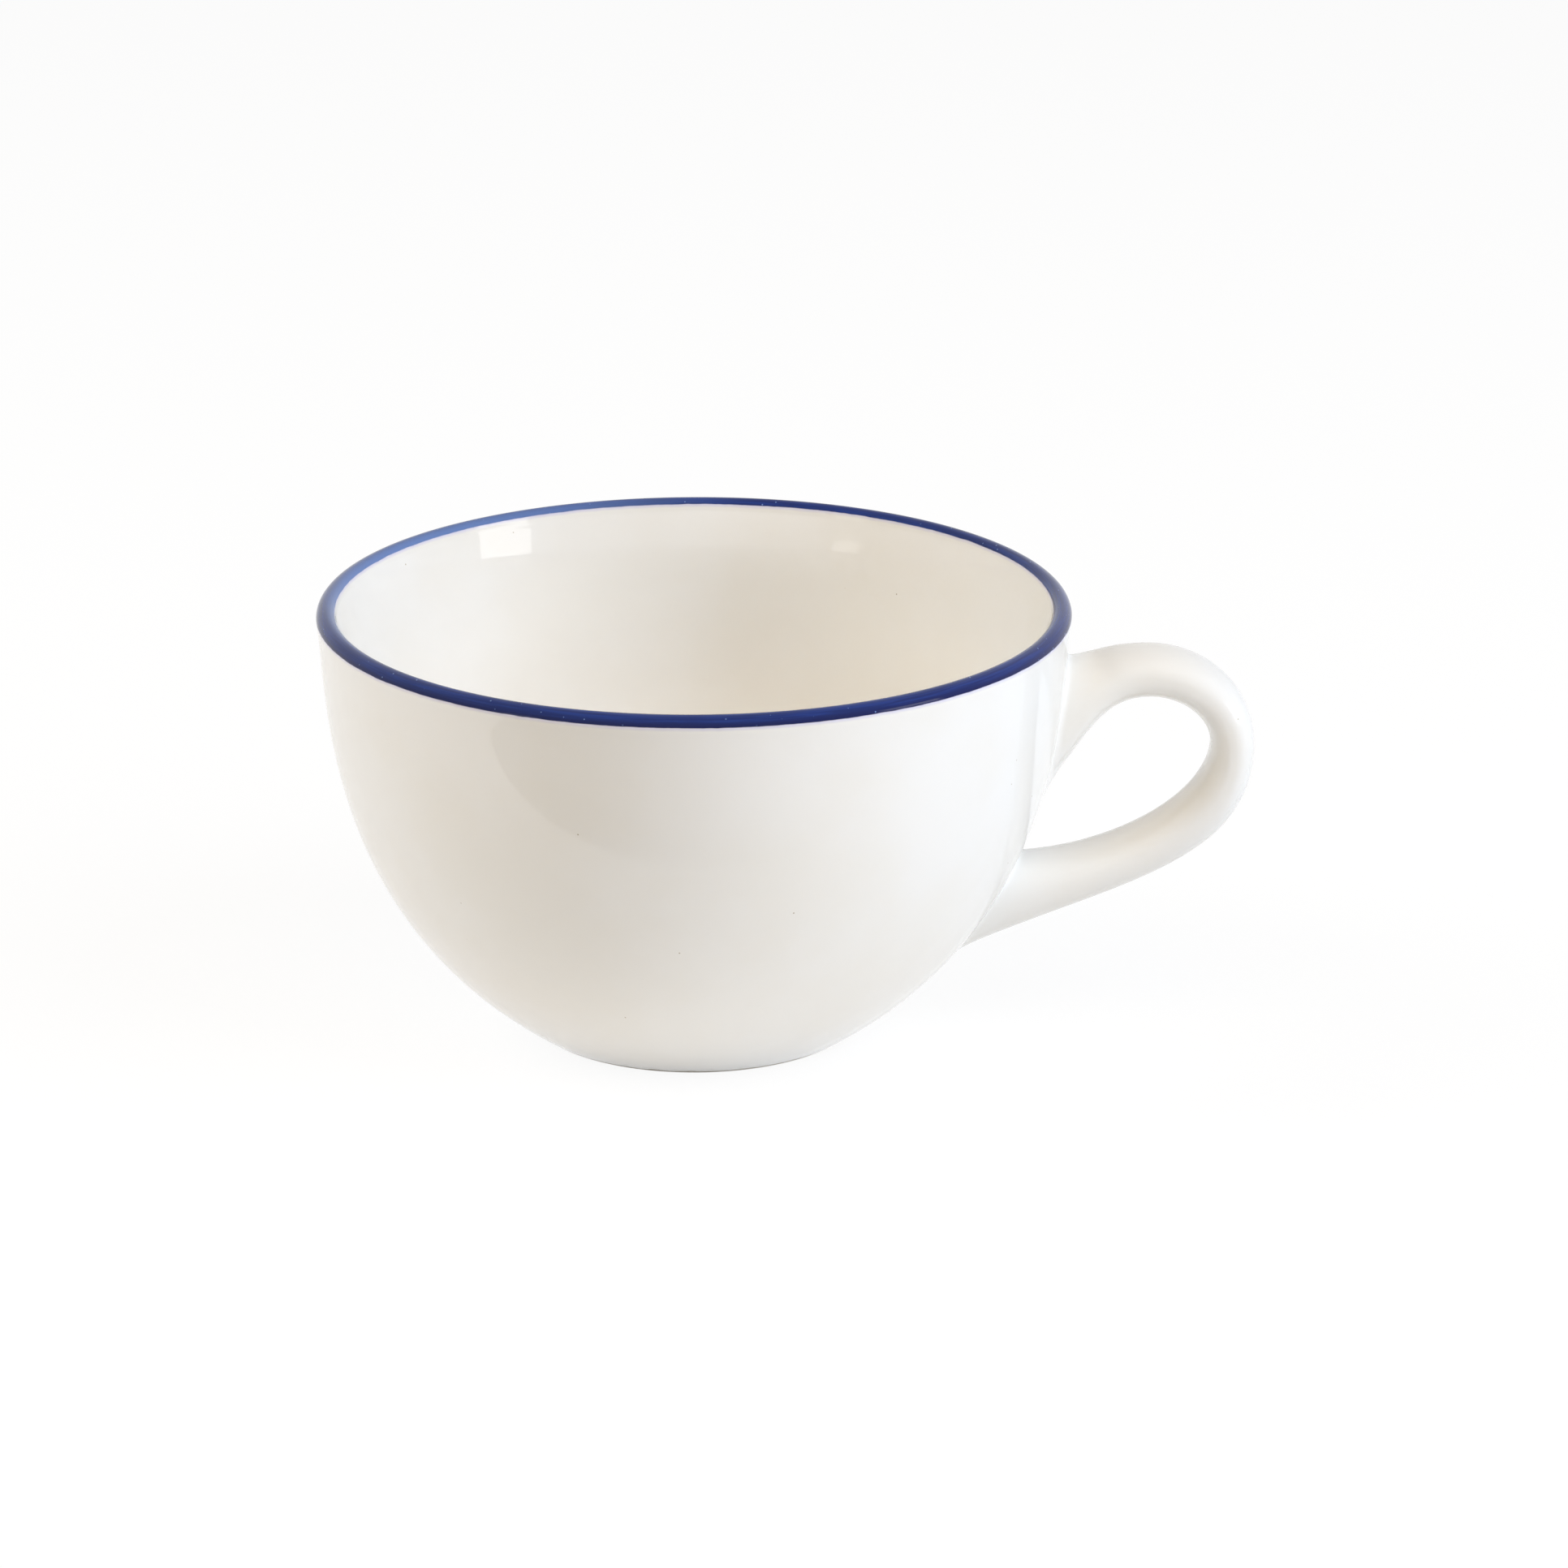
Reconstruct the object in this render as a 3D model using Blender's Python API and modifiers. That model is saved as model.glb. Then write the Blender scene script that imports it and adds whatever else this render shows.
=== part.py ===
"""A glazed porcelain coffee cup.

A turned bowl stands on a foot ring and carries a blue enamel band over its lip. A cast strap handle is
stuck to the wall at two roots, each bedded in a collar of slip. Sizes are in metres, +Z is up and the
handle points to +X. The origin is on the table, in the middle of the cup's footprint.
"""

import math

import bmesh
import bpy
from mathutils import Vector

# Bowl: the fullness of a curve's end is its pull as a share of the straight line between its ends
RIM_RADIUS = 0.0551
HEIGHT = 0.0646
RIM_ANGLE = math.radians(82.5)
RIM_FULLNESS = 0.155
WALL_THICKNESS = 0.0041
LIP_THICKNESS = 0.0029
LIP_TAPER = 0.0095
LIP_OUTER_SHARE = 0.58
FLOOR_THICKNESS = 0.0040
FLOOR_FULLNESS = 0.52
HEEL_FULLNESS = 0.22
UNDERSIDE_DOME = 0.0007

# Foot ring
FOOT_RADIUS = 0.0237
FOOT_HEIGHT = 0.0024
FOOT_ANGLE = math.radians(32.0)
FOOT_FULLNESS = 0.535
FOOT_BEARING_WIDTH = 0.0028
FOOT_INNER_LEAN = 0.0008
FOOT_EDGE_ROUND = 0.0005

# Enamel band over the lip, measured along the lip from its crest
BAND_THICKNESS = 0.0004
BAND_OUTSIDE_RUN = 0.0022
BAND_INSIDE_RUN = 0.0016

# Handle: it reaches out from the rim, and its upper root, crown and reach are measured down from the rim
HANDLE_REACH = 0.0270
HANDLE_REACH_DROP = 0.0217
HANDLE_REACH_THICKNESS = 0.0065
HANDLE_CROWN_OUT = 0.0114
HANDLE_CROWN_DROP = 0.0070
HANDLE_CROWN_THICKNESS = 0.0070
HANDLE_WIDTH = 0.0120
HANDLE_ROOT_WIDTH = 0.0138
SECTION_SQUARENESS = 2.4
UPPER_ROOT_DROP = 0.00875
UPPER_ROOT_HEIGHT = 0.0186
UPPER_ROOT_OUTER_RISE = math.radians(9.0)
UPPER_ROOT_INNER_RISE = math.radians(46.0)
LOWER_ROOT_BOTTOM = 0.0105
LOWER_ROOT_HEIGHT = 0.0151
LOWER_ROOT_OUTER_RISE = math.radians(27.0)
LOWER_ROOT_INNER_RISE = math.radians(1.0)
OUTER_ROOT_FULLNESS = 0.48
INNER_ROOT_FULLNESS = 0.39
CROWN_FULLNESS = 0.55
OUTER_HEEL_FULLNESS = 0.60
INNER_HEEL_FULLNESS = 0.46
HOME_FULLNESS = 0.54

# Slip joints between the handle and the wall
SLIP_THICKNESS = 0.0009
SLIP_FILLET = 0.0011

# Seating gap between touching pieces
SEAT_GAP = 0.0003

# Facets: the rings of the handle crowd towards its roots
TURN_STEPS = 72
WALL_STEPS = 14
FLOOR_STEPS = 6
LIP_STEPS = 4
FOOT_STEPS = 3
UPPER_RINGS = 14
CROWN_RINGS = 12
LOWER_RINGS = 26
SECTION_POINTS = 24
SLIP_STEPS = 4
BED_STEPS = 3
ROOT_CROWDING = 1.5

# Working shares of the wall's length, halvings of a search along it, and the distance at which points weld
SLOPE_STEP = 0.001
CLEAR_STEP = 0.02
HALVINGS = 40
WELD_DISTANCE = 0.00001

# How far the handle blank runs past the wall, and how far its cutter runs past the lip
BLANK_OVERRUN = 0.0030
CUTTER_OVERRUN = 0.0040

PORCELAIN_COLOUR = (0.86, 0.84, 0.80)
BISCUIT_COLOUR = (0.78, 0.74, 0.67)
ENAMEL_COLOUR = (0.020, 0.045, 0.230)
PORCELAIN_ROUGHNESS = 0.12
BISCUIT_ROUGHNESS = 0.75
ENAMEL_ROUGHNESS = 0.15

EAST = Vector((1.0, 0.0))
SOUTH = Vector((0.0, -1.0))


def clear_scene():
    for obj in list(bpy.data.objects):
        bpy.data.objects.remove(obj)


def new_collection(name):
    collection = bpy.data.collections.new(name)
    bpy.context.scene.collection.children.link(collection)
    return collection


def new_material(name, colour, roughness):
    material = bpy.data.materials.new(name)
    material.use_nodes = True
    shader = material.node_tree.nodes["Principled BSDF"]
    shader.inputs["Base Color"].default_value = (*colour, 1.0)
    shader.inputs["Roughness"].default_value = roughness
    shader.inputs["Metallic"].default_value = 0.0
    return material


def polar(angle, length=1.0):
    return Vector((math.cos(angle), math.sin(angle))) * length


def bezier(start, start_pull, end_pull, end, t):
    """Point at t of the cubic that leaves start along start_pull and reaches end along end_pull."""
    s = 1.0 - t
    first, second = start + start_pull, end - end_pull
    return start * s**3 + first * (3 * s * s * t) + second * (3 * s * t * t) + end * t**3


def steps(count):
    """Even steps from 0 to 1."""
    return [i / count for i in range(count + 1)]


def smooth_step(t):
    return t * t * (3.0 - 2.0 * t)


# Profiles of the turned pieces are (radius, height) pairs


def lip_round(side):
    """Radius of the lip's edge, outside or inside."""
    share = LIP_OUTER_SHARE if side == "outside" else 1.0 - LIP_OUTER_SHARE
    return LIP_THICKNESS * share


def lip_foot():
    """Where the outer wall ends and the lip's round starts, set so that the lip tops out at HEIGHT."""
    outer, inner = lip_round("outside"), lip_round("inside")
    crest = outer * math.cos(RIM_ANGLE) + (outer - inner) * math.sin(RIM_ANGLE) + inner
    return Vector((RIM_RADIUS - outer * (1.0 - math.sin(RIM_ANGLE)), HEIGHT - crest))


def outer_wall(t):
    """The outside of the cup from the edge it stands on, at t = 0, to the foot of its lip, at t = 1."""
    start, end = Vector((FOOT_RADIUS, 0.0)), lip_foot()
    span = (end - start).length
    foot_pull = polar(FOOT_ANGLE, span * FOOT_FULLNESS)
    rim_pull = polar(RIM_ANGLE, span * RIM_FULLNESS)
    return bezier(start, foot_pull, rim_pull, end, t)


def wall_slope(t):
    """Angle of the outer wall above the horizontal."""
    ahead = outer_wall(min(1.0, t + SLOPE_STEP)) - outer_wall(max(0.0, t - SLOPE_STEP))
    return math.atan2(ahead.y, ahead.x)


def wall_normal(t):
    return polar(wall_slope(t) - math.pi / 2)


def wall_t_at(height):
    """Where the outer wall passes a height, found by halving."""
    low, high = 0.0, 1.0
    for _ in range(HALVINGS):
        middle = (low + high) / 2
        if outer_wall(middle).y < height:
            low = middle
        else:
            high = middle
    return (low + high) / 2


def wall_ts(low, high):
    """Steps of the outer wall between two heights, shared by all pieces that follow the wall."""
    low_t, high_t = wall_t_at(low), wall_t_at(high)
    between = [t for t in steps(WALL_STEPS) if low_t + CLEAR_STEP < t < high_t - CLEAR_STEP]
    return [low_t, *between, high_t]


def inner_wall(t):
    """The inside of the cup opposite outer_wall(t); the wall thins in a soft flare up to the lip."""
    point = outer_wall(t)
    closeness = max(0.0, 1.0 - (lip_foot().y - point.y) / LIP_TAPER)
    thickness = WALL_THICKNESS + (LIP_THICKNESS - WALL_THICKNESS) * closeness**2
    return point - wall_normal(t) * thickness


def lip(side, share):
    """Point and outward normal on the lip's round, from share 0 at the wall to share 1 at the crest."""
    up, inward = polar(RIM_ANGLE), polar(RIM_ANGLE + math.pi / 2)
    radius = lip_round(side)
    centre = lip_foot() + inward * lip_round("outside") + up * (lip_round("outside") - radius)
    away = -inward if side == "outside" else inward
    normal = away * math.cos(share * math.pi / 2) + up * math.sin(share * math.pi / 2)
    return centre + normal * radius, normal


def lip_side(side, run, depth):
    """One side of the lip, sunk by depth, from run below the crest up to the crest."""
    quarter = lip_round(side) * math.pi / 2
    start = max(0.0, 1.0 - run / quarter)
    below = polar(RIM_ANGLE, max(0.0, run - quarter))
    points = []
    for s in steps(LIP_STEPS):
        point, normal = lip(side, start + (1.0 - start) * s)
        points.append(point - below * (1.0 - s) - normal * depth)
    return points


def lip_path(clearance, depth):
    """The lip under the band from inside to outside, with a clearance at the band's edges."""
    inside = lip_side("inside", BAND_INSIDE_RUN + clearance, depth)
    outside = lip_side("outside", BAND_OUTSIDE_RUN + clearance, depth)
    return inside + outside[-2::-1]


def bowl_profile():
    """Inner floor and wall, rebated lip, outer wall and underside, from the axis out and back to it."""
    seat = FOOT_HEIGHT + SEAT_GAP
    under_centre = Vector((0.0, seat + UNDERSIDE_DOME))
    floor_centre = under_centre + Vector((0.0, FLOOR_THICKNESS))
    wall = wall_ts(seat, HEIGHT)
    heel, *rest = [t for t in wall if outer_wall(t).y > floor_centre.y]
    heel_point = inner_wall(heel)
    floor_pull = EAST * heel_point.x * FLOOR_FULLNESS
    heel_pull = polar(wall_slope(heel), heel_point.x * HEEL_FULLNESS)
    floor = [bezier(floor_centre, floor_pull, heel_pull, heel_point, s) for s in steps(FLOOR_STEPS)]
    edge = lip_path(SEAT_GAP, 0.0)
    core = lip_path(SEAT_GAP, BAND_THICKNESS + SEAT_GAP)
    inside = [p for p in map(inner_wall, rest) if p.y < edge[0].y - SEAT_GAP]
    outside = [p for p in map(outer_wall, wall[::-1]) if p.y < edge[-1].y - SEAT_GAP]
    under_edge = Vector((FOOT_RADIUS - FOOT_BEARING_WIDTH - FOOT_INNER_LEAN, seat))
    return [*floor, *inside, edge[0], *core, edge[-1], *outside, under_edge, under_centre]


def band_profile():
    """A skin over the lip, closed on itself."""
    return lip_path(0.0, 0.0) + lip_path(0.0, BAND_THICKNESS)[::-1]


def foot_profile():
    """A ring that carries the wall's curve down to a flat bearing face, closed on itself."""
    top_t = wall_t_at(FOOT_HEIGHT)
    outside = [outer_wall(top_t * s) for s in steps(FOOT_STEPS)][::-1]
    bearing = FOOT_RADIUS - FOOT_BEARING_WIDTH
    bearing_edge = Vector((bearing + FOOT_EDGE_ROUND, 0.0))
    inner_edge = Vector((bearing, FOOT_EDGE_ROUND))
    inner_top = Vector((bearing - FOOT_INNER_LEAN, FOOT_HEIGHT))
    return [*outside, bearing_edge, inner_edge, inner_top]


def core_profile(clearance):
    """A solid that fills the wall's outline at a clearance and runs straight on past the lip."""
    wall = [outer_wall(t) + wall_normal(t) * clearance for t in wall_ts(FOOT_HEIGHT, HEIGHT)][::-1]
    above_lip = wall[0] + polar(RIM_ANGLE, CUTTER_OVERRUN)
    return [Vector((0.0, above_lip.y)), above_lip, *wall, Vector((0.0, wall[-1].y))]


def turn(name, profile, collection, closed):
    """A solid turned about Z from a profile that runs down its outer side."""
    mesh = bpy.data.meshes.new(name)
    shape = bmesh.new()
    corners = [shape.verts.new((p.x, 0.0, p.y)) for p in profile]
    for start, end in zip(corners, corners[1:]):
        shape.edges.new((start, end))
    if closed:
        shape.edges.new((corners[-1], corners[0]))
    shape.to_mesh(mesh)
    shape.free()
    obj = bpy.data.objects.new(name, mesh)
    collection.objects.link(obj)
    screw = obj.modifiers.new("Turn", "SCREW")
    screw.axis = "Z"
    screw.angle = math.tau
    screw.steps = TURN_STEPS
    screw.render_steps = TURN_STEPS
    screw.use_merge_vertices = True
    screw.merge_threshold = WELD_DISTANCE
    screw.use_smooth_shade = True
    return obj


# The handle is drawn in the XZ plane as an outer and an inner edge, each of three curves


def handle_edge(root_top, root_bottom, rise, fall, crown, reach, root_fullness, heel_fullness):
    top, bottom = outer_wall(wall_t_at(root_top)), outer_wall(wall_t_at(root_bottom))
    root_pull = (crown - top).length * root_fullness
    over, down = CROWN_FULLNESS * (reach.x - crown.x), CROWN_FULLNESS * (crown.y - reach.y)
    heel, home = heel_fullness * (reach.y - bottom.y), HOME_FULLNESS * (reach.x - bottom.x)
    return [
        (top, polar(rise, root_pull), EAST * root_pull, crown),
        (crown, EAST * over, SOUTH * down, reach),
        (reach, SOUTH * heel, polar(fall, -home), bottom),
    ]


def handle_edges():
    upper_top = HEIGHT - UPPER_ROOT_DROP
    crown = Vector((RIM_RADIUS + HANDLE_CROWN_OUT, HEIGHT - HANDLE_CROWN_DROP))
    reach = Vector((RIM_RADIUS + HANDLE_REACH, HEIGHT - HANDLE_REACH_DROP))
    outer = handle_edge(
        upper_top,
        LOWER_ROOT_BOTTOM,
        UPPER_ROOT_OUTER_RISE,
        LOWER_ROOT_OUTER_RISE,
        crown,
        reach,
        OUTER_ROOT_FULLNESS,
        OUTER_HEEL_FULLNESS,
    )
    inner = handle_edge(
        upper_top - UPPER_ROOT_HEIGHT,
        LOWER_ROOT_BOTTOM + LOWER_ROOT_HEIGHT,
        UPPER_ROOT_INNER_RISE,
        LOWER_ROOT_INNER_RISE,
        crown + SOUTH * HANDLE_CROWN_THICKNESS,
        reach - EAST * HANDLE_REACH_THICKNESS,
        INNER_ROOT_FULLNESS,
        INNER_HEEL_FULLNESS,
    )
    return outer, inner


def handle_stations():
    """Outer point, inner point and width of each section from inside the wall to inside the wall."""
    outer, inner = handle_edges()
    near_top = [s**ROOT_CROWDING for s in steps(UPPER_RINGS)]
    near_bottom = [1.0 - (1.0 - s) ** ROOT_CROWDING for s in steps(LOWER_RINGS)]
    flare = HANDLE_ROOT_WIDTH - HANDLE_WIDTH
    stations = []
    for curve, ts in enumerate((near_top, steps(CROWN_RINGS)[1:-1], near_bottom)):
        for t in ts:
            root = (1.0 - smooth_step(t), 0.0, smooth_step(t) ** 3)[curve]
            width = HANDLE_WIDTH + flare * root
            stations.append((bezier(*outer[curve], t), bezier(*inner[curve], t), width))
    first, last = stations[0], stations[-1]
    before = [edge[0][1].normalized() * -BLANK_OVERRUN for edge in (outer, inner)]
    after = [edge[-1][2].normalized() * BLANK_OVERRUN for edge in (outer, inner)]
    stations.insert(0, (first[0] + before[0], first[1] + before[1], first[2]))
    stations.append((last[0] + after[0], last[1] + after[1], last[2]))
    return stations


def squared_round(angle):
    """A point of a rounded square of half size 1."""
    power = 2.0 / SECTION_SQUARENESS
    c, s = math.cos(angle), math.sin(angle)
    return math.copysign(abs(c) ** power, c), math.copysign(abs(s) ** power, s)


def handle_rings():
    """The sections of the handle, from inside the wall at the upper root to inside it at the lower."""
    rings = []
    for outer, inner, width in handle_stations():
        centre, half = (outer + inner) / 2, (outer - inner) / 2
        ring = []
        for k in range(SECTION_POINTS):
            across, along = squared_round(math.tau * k / SECTION_POINTS)
            x, z = centre + half * along
            ring.append(Vector((x, width / 2 * across, z)))
        rings.append(ring)
    return rings


def off_wall(point):
    """How far a point stands off the outer wall."""
    t = wall_t_at(point.z)
    return (math.hypot(point.x, point.y) - outer_wall(t).x) * math.sin(wall_slope(t))


def seated(point, distance):
    """The point, moved level to or from the cup's axis until it stands off the wall by the distance."""
    t = wall_t_at(point.z)
    radius = outer_wall(t).x + distance / math.sin(wall_slope(t))
    scale = radius / math.hypot(point.x, point.y)
    return Vector((point.x * scale, point.y * scale, point.z))


def ring_off_wall(rings, distance):
    """Where the lines along the handle, followed out of the wall, come to a distance from it."""
    ring = []
    for line in zip(*rings):
        for start, end in zip(line, line[1:]):
            if off_wall(end) >= distance:
                break
        near, far = off_wall(start), off_wall(end)
        ring.append(seated(start.lerp(end, (distance - near) / (far - near)), distance))
    return ring


def slip_rings(rings):
    """Rings of a slip collar: its bed under the handle, its hollow round and its bed on the wall."""
    top = SEAT_GAP + SLIP_THICKNESS
    root = ring_off_wall(rings, top)
    centre = sum(root, Vector()) / SECTION_POINTS
    spreads = [SLIP_FILLET * (1.0 - math.sqrt(1.0 - s * s)) for s in steps(SLIP_STEPS)]
    collar = []
    for share, spread in zip(steps(SLIP_STEPS), spreads):
        moved = [point + (point - centre).normalized() * spread for point in root]
        collar.append([seated(point, top - SLIP_THICKNESS * share) for point in moved])
    shrinks = steps(BED_STEPS)[1:-1]
    upper_bed = [[seated(centre.lerp(p, s), top) for p in collar[0]] for s in shrinks]
    lower_bed = [[seated(centre.lerp(p, s), SEAT_GAP) for p in collar[-1]] for s in shrinks[::-1]]
    return upper_bed + collar + lower_bed


def loft(name, rings, collection):
    """A solid through rings of as many points each, closed by a fan at each end."""
    shape = bmesh.new()
    loops = [[shape.verts.new(point) for point in ring] for ring in rings]
    for loop, following in zip(loops, loops[1:]):
        for k in range(SECTION_POINTS):
            after = (k + 1) % SECTION_POINTS
            shape.faces.new((loop[k], loop[after], following[after], following[k]))
    caps = [shape.faces.new(loops[0]), shape.faces.new(loops[-1])]
    bmesh.ops.poke(shape, faces=caps)
    bmesh.ops.recalc_face_normals(shape, faces=shape.faces)
    mesh = bpy.data.meshes.new(name)
    shape.to_mesh(mesh)
    shape.free()
    mesh.shade_smooth()
    obj = bpy.data.objects.new(name, mesh)
    collection.objects.link(obj)
    return obj


def cut(obj, cutter):
    """Takes a cutter, which isn't shown itself, out of obj."""
    cutter.hide_render = True
    cutter.display_type = "WIRE"
    boolean = obj.modifiers.new("Cut", "BOOLEAN")
    boolean.operation = "DIFFERENCE"
    boolean.object = cutter
    boolean.solver = "EXACT"


def main():
    clear_scene()
    parts = new_collection("coffee_cup")
    cutters = new_collection("cutters")

    bowl = turn("bowl", bowl_profile(), parts, closed=False)
    foot_ring = turn("foot_ring", foot_profile(), parts, closed=True)
    rim_band = turn("rim_band", band_profile(), parts, closed=True)

    rings = handle_rings()
    handle = loft("handle", rings, parts)
    wall_core = turn("wall_core", core_profile(SLIP_THICKNESS + 2 * SEAT_GAP), cutters, closed=False)
    cut(handle, wall_core)
    upper_slip = loft("upper_slip_joint", slip_rings(rings), parts)
    lower_slip = loft("lower_slip_joint", slip_rings(rings[::-1]), parts)

    porcelain = new_material("glazed_porcelain", PORCELAIN_COLOUR, PORCELAIN_ROUGHNESS)
    biscuit = new_material("bare_biscuit", BISCUIT_COLOUR, BISCUIT_ROUGHNESS)
    enamel = new_material("blue_enamel", ENAMEL_COLOUR, ENAMEL_ROUGHNESS)
    for obj in (bowl, handle, upper_slip, lower_slip):
        obj.data.materials.append(porcelain)
    foot_ring.data.materials.append(biscuit)
    rim_band.data.materials.append(enamel)

    frame = bpy.data.objects.new("cup_frame", None)
    parts.objects.link(frame)
    frame.location.x = -HANDLE_REACH / 2
    for obj in (bowl, foot_ring, rim_band, handle, upper_slip, lower_slip, *cutters.objects):
        obj.parent = frame


main()
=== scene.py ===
"""A glazed porcelain coffee cup, modelled and finished for rendering.

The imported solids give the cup's axis, height, rim and reach. From these the add-on turns the bowl, its foot
ring and the enamel band on the lip, sticks a strap handle to the wall with two fillets of slip, and sets a
pale studio with a camera. Sizes are in metres, +Z is up and the handle points to +X.
"""

import math

import bmesh
import bpy
import numpy as np
from bpy.props import FloatProperty, FloatVectorProperty, IntProperty, PointerProperty
from bpy.types import NodeSocket, Operator, Panel, PropertyGroup
from mathutils import Color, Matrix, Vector


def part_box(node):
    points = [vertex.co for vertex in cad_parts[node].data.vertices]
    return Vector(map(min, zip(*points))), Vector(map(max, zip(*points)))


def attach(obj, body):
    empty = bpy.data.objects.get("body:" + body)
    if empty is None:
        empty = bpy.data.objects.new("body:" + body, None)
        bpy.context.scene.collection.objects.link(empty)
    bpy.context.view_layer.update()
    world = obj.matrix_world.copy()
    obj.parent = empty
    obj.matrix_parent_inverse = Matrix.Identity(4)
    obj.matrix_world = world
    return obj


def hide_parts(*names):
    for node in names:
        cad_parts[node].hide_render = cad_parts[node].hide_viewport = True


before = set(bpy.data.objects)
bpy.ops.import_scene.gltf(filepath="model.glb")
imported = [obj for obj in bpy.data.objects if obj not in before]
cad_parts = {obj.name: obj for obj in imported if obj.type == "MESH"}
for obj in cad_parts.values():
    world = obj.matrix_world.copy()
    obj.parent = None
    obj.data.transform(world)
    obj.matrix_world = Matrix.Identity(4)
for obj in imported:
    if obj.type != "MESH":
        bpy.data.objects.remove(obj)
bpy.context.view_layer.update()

bl_info = {
    "name": "Coffee Cup",
    "version": (1, 0, 0),
    "blender": (4, 5, 0),
    "location": "3D View > Sidebar > Coffee Cup",
    "description": "Models a glazed porcelain coffee cup with a blue rim and a strap handle",
    "category": "Add Mesh",
}

BODY = "root"

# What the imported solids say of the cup
BAND_LOW, BAND_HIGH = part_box("rim_band")
AXIS_X = (BAND_LOW.x + BAND_HIGH.x) / 2
RIM_RADIUS = (BAND_HIGH.y - BAND_LOW.y) / 2
CUP_HEIGHT = BAND_HIGH.z
HANDLE_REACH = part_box("handle")[1].x - AXIS_X - RIM_RADIUS

# The attribute that holds how far a point lies from the lip's crest along the surface, outside positive
RIM_RUN = "rim_run"

WHITE = Color((1.0, 1.0, 1.0))

# Points on each stretch of the turned profiles
FLOOR_POINTS, INSIDE_POINTS, BLEND_POINTS, LIP_POINTS, SEAT_POINTS = 30, 80, 8, 6, 24
OUTSIDE_POINTS, COVE_POINTS, UNDERSIDE_POINTS = 110, 6, 12
BAND_POINTS, FOOT_WALL_POINTS, FOOT_EDGE_POINTS = 60, 14, 8

# Pulls of the curves at the foot ring's two rounded edges, as parts of the round
OUTER_EDGE_PULL, INNER_EDGE_PULL = 0.7, 0.55

# Part of its seat's depth that the band fills
BAND_FILL = 0.6

# Corners between strap and wall, in degrees, at which the slip is narrowest and widest
SQUARE_CORNER, SHALLOW_CORNER = 90.0, 150.0

# Points of a turned piece that lie closer than this are welded, and edges that bend more are shaded sharp
WELD_DISTANCE = 0.0000005
SHARP_ANGLE = math.radians(20.0)

# Azimuth (0 on the handle's side, -90 in front) and elevation of each lamp in degrees, its distance, width
# and height in metres, and whether the glaze mirrors it. The studio's settings have its power, and its colour
# if it isn't white.
LAMPS = {
    "key": (-25.0, 36.0, 1.2, 0.9, 1.1, False),
    "fill": (180.0, 35.0, 1.3, 0.6, 1.0, False),
    "front": (-90.0, 62.0, 1.3, 1.0, 1.0, False),
    "window": (-23.0, 11.0, 1.2, 0.40, 0.30, True),
    "strip": (-141.5, 5.5, 1.3, 0.22, 0.22, True),
}


def linear(hex_colour):
    """An sRGB hex colour as linear red, green and blue."""
    channels = [int(hex_colour[i : i + 2], 16) / 255 for i in (1, 3, 5)]
    return tuple(c / 12.92 if c <= 0.04045 else ((c + 0.055) / 1.055) ** 2.4 for c in channels)


def number(name, description, default, **kind):
    return FloatProperty(name=name, description=description, default=default, **kind)


def length(name, description, default):
    return number(name, description, default, unit="LENGTH", precision=5)


def angle(name, description, degrees):
    return number(name, description, math.radians(degrees), subtype="ANGLE")


def power(name, description, default):
    return number(name, description, default, unit="POWER")


def share(name, description, default):
    return number(name, description, default, subtype="FACTOR")


def colour(name, description, hex_colour):
    default = linear(hex_colour)
    return FloatVectorProperty(name=name, description=description, default=default, subtype="COLOR")


class BowlSizes(PropertyGroup):
    """Sizes of the turned bowl and its lip"""

    rim_radius: length("Rim radius", "Outer radius of the rim", RIM_RADIUS)
    height: length("Height", "Height of the lip's crest", CUP_HEIGHT)
    rim_angle: angle("Rim angle", "Lean of the wall at the rim, from level", 82.5)
    rim_fullness: share("Rim fullness", "Pull of the wall's curve at the rim", 0.155)
    wall: length("Wall", "Thickness of the wall below its taper", 0.0041)
    lip: length("Lip", "Thickness of the lip", 0.0029)
    lip_taper: length("Lip taper", "Height over which the wall thins to the lip", 0.0095)
    lip_blend: length("Lip blend", "Run of the inner wall into the lip", 0.0003)
    lip_outer_share: share("Outer share", "Part of the lip's round that faces out", 0.58)
    floor: length("Floor", "Thickness of the floor at the axis", 0.0040)
    floor_fullness: share("Floor fullness", "Pull of the inner floor at the axis", 0.52)
    heel_height: length("Heel height", "Height of the wall opposite the inner heel", 0.0092)
    heel_fullness: share("Heel fullness", "Pull of the inner floor at the heel", 0.22)
    dome: length("Underside dome", "Rise of the underside towards the axis", 0.0007)
    cove: length("Underside cove", "Round between underside and foot ring", 0.0010)
    segments: IntProperty(name="Segments", description="Steps of one turn", default=288, min=12)


class FootSizes(PropertyGroup):
    """Sizes of the foot ring"""

    radius: length("Foot radius", "Radius of the edge that the cup stands on", 0.0237)
    height: length("Foot height", "Height of the joint with the bowl", 0.00255)
    angle: angle("Foot angle", "Lean of the wall at the foot, from level", 32.0)
    fullness: share("Foot fullness", "Pull of the wall's curve at the foot", 0.535)
    bearing: length("Bearing width", "Width of the ring at the table", 0.0028)
    lean: length("Inner lean", "How far the ring's inner side leans in", 0.0008)
    edge_round: length("Edge round", "Round of the ring's two lower edges", 0.0005)
    glaze_line: length("Glaze line", "Height at which the glaze ends", 0.0007)


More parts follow.
